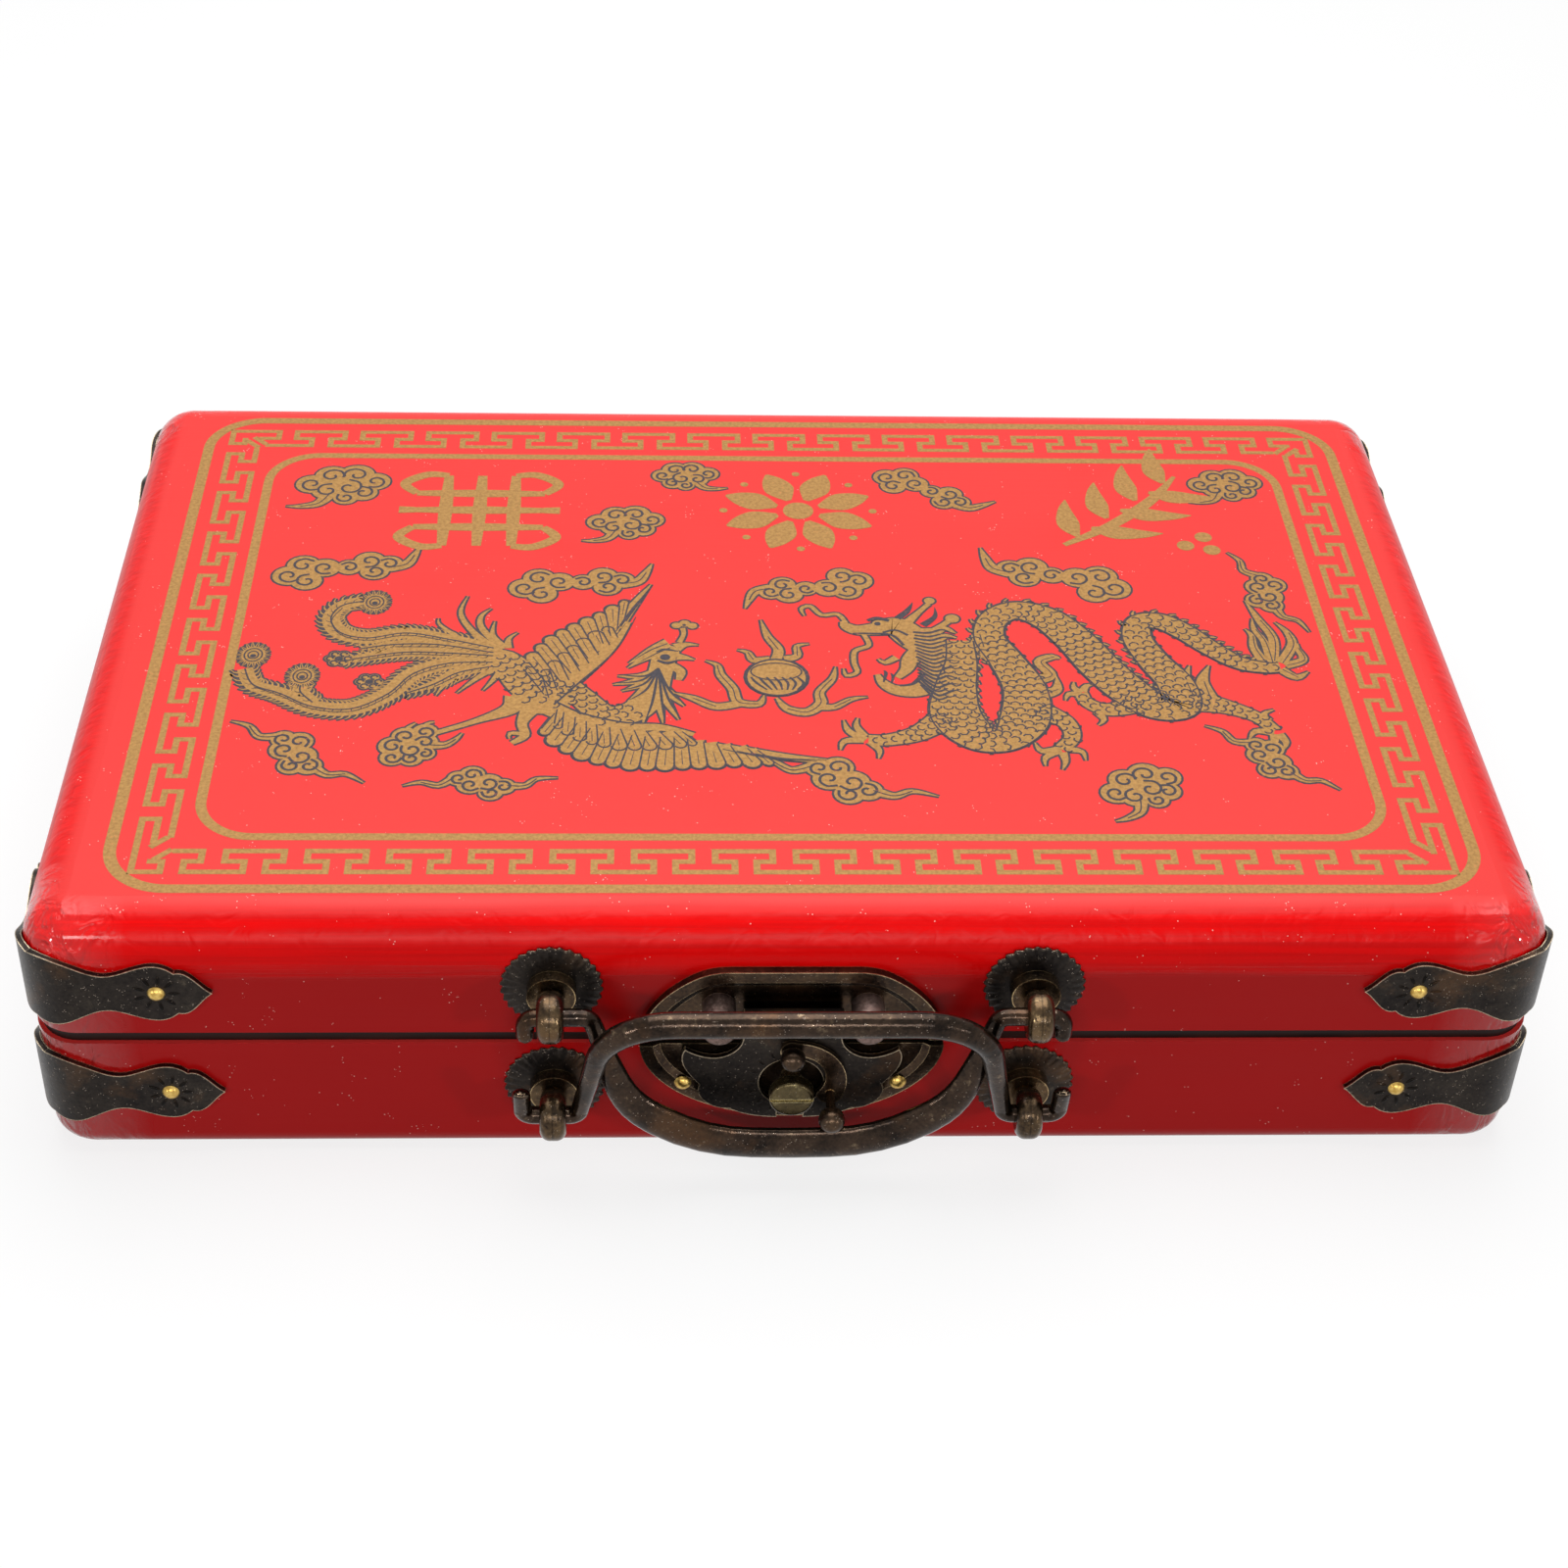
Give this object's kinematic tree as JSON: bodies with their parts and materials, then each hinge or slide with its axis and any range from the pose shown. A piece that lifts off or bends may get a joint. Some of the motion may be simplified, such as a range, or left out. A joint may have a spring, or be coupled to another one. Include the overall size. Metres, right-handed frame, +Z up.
{
  "type": "mahjong case with trays",
  "caption": "Flat clamshell game case with rounded leatherette covering, metal corner bands, folding bail handles, a hasp lock and lift-out tile trays.",
  "frame": {"origin": "centre of the underside of the base", "axes": "+X to the right along the case, -Y to the front where the lock is, +Z up through the lid"},
  "size_m": [0.2538, 0.1861, 0.05],
  "materials": {
    "red_covering": "glossy embossed leatherette with gold print",
    "black_lacquer": "black lacquer",
    "case_wood": "plain sawn softwood",
    "tray_wood": "stained and waxed",
    "felt": "short pile felt",
    "ribbon": "woven satin ribbon",
    "aged_brass": "dark aged bronze with worn edges",
    "bright_brass": "worn polished brass"
  },
  "bodies": {
    "base": {"base_back_rail": "case_wood", "base_band_nails": "bright_brass", "base_covering": "red_covering", "base_felt_lining": "felt", "base_front_left_band": "aged_brass", "base_front_rail": "case_wood", "base_front_right_band": "aged_brass", "base_hinge_leaves": "aged_brass", "base_hinge_screws": "bright_brass", "base_left_handle_eye": "aged_brass", "base_left_rail": "case_wood", "base_left_rosette": "aged_brass", "base_left_tray": "tray_wood", "base_lock_plate": "aged_brass", "base_panel": "case_wood", "base_rear_left_band": "aged_brass", "base_rear_right_band": "aged_brass", "base_right_handle_eye": "aged_brass", "base_right_rail": "case_wood", "base_right_rosette": "aged_brass", "base_right_tray": "tray_wood", "base_rim": "black_lacquer", "base_tray_ribbons": "ribbon", "hinge_pins": "aged_brass", "lock_plate_nails": "bright_brass", "locking_stud": "bright_brass"},
    "lid": {"hasp_pin": "aged_brass", "hasp_posts": "aged_brass", "lid_back_rail": "case_wood", "lid_band_nails": "bright_brass", "lid_covering": "red_covering", "lid_felt_lining": "felt", "lid_front_left_band": "aged_brass", "lid_front_rail": "case_wood", "lid_front_right_band": "aged_brass", "lid_hinge_leaves": "aged_brass", "lid_hinge_screws": "bright_brass", "lid_left_handle_eye": "aged_brass", "lid_left_rail": "case_wood", "lid_left_rosette": "aged_brass", "lid_left_tray": "tray_wood", "lid_lock_plate": "aged_brass", "lid_panel": "case_wood", "lid_rear_left_band": "aged_brass", "lid_rear_right_band": "aged_brass", "lid_right_handle_eye": "aged_brass", "lid_right_rail": "case_wood", "lid_right_rosette": "aged_brass", "lid_right_tray": "tray_wood", "lid_rim": "black_lacquer", "lid_tray_ribbons": "ribbon"},
    "base_handle": {"base_handle": "aged_brass"},
    "lid_handle": {"lid_handle": "aged_brass"},
    "hasp": {"crescent_pivot": "aged_brass", "hasp": "aged_brass"},
    "crescent_latch": {"crescent_latch": "aged_brass"}
  },
  "joints": [
    {"name": "lid_open", "type": "hinge", "parent": "base", "child": "lid", "pos_m": [0, 0.0849, 0.026], "axis": [-1, 0, 0], "range_deg": [0, 180]},
    {"name": "base_handle_swing", "type": "hinge", "parent": "base", "child": "base_handle", "pos_m": [0, -0.0901, 0.0156], "axis": [1, 0, 0], "range_deg": [0, 100]},
    {"name": "lid_handle_swing", "type": "hinge", "parent": "lid", "child": "lid_handle", "pos_m": [0, -0.0901, 0.0376], "axis": [-1, 0, 0], "range_deg": [0, 80]},
    {"name": "hasp_swing", "type": "hinge", "parent": "lid", "child": "hasp", "pos_m": [0, -0.0871, 0.034], "axis": [-1, 0, 0], "range_deg": [0, 65]},
    {"name": "crescent_turn", "type": "hinge", "parent": "hasp", "child": "crescent_latch", "pos_m": [0, -0.08615, 0.0264], "axis": [0, 1, 0], "range_deg": [-45, 12]}
  ],
  "couplings": [
    {"joint": "lid_handle_swing", "follows": "base_handle_swing", "ratio": 0.8},
    {"joint": "hasp_swing", "follows": "base_handle_swing", "ratio": 0.65}
  ]
}
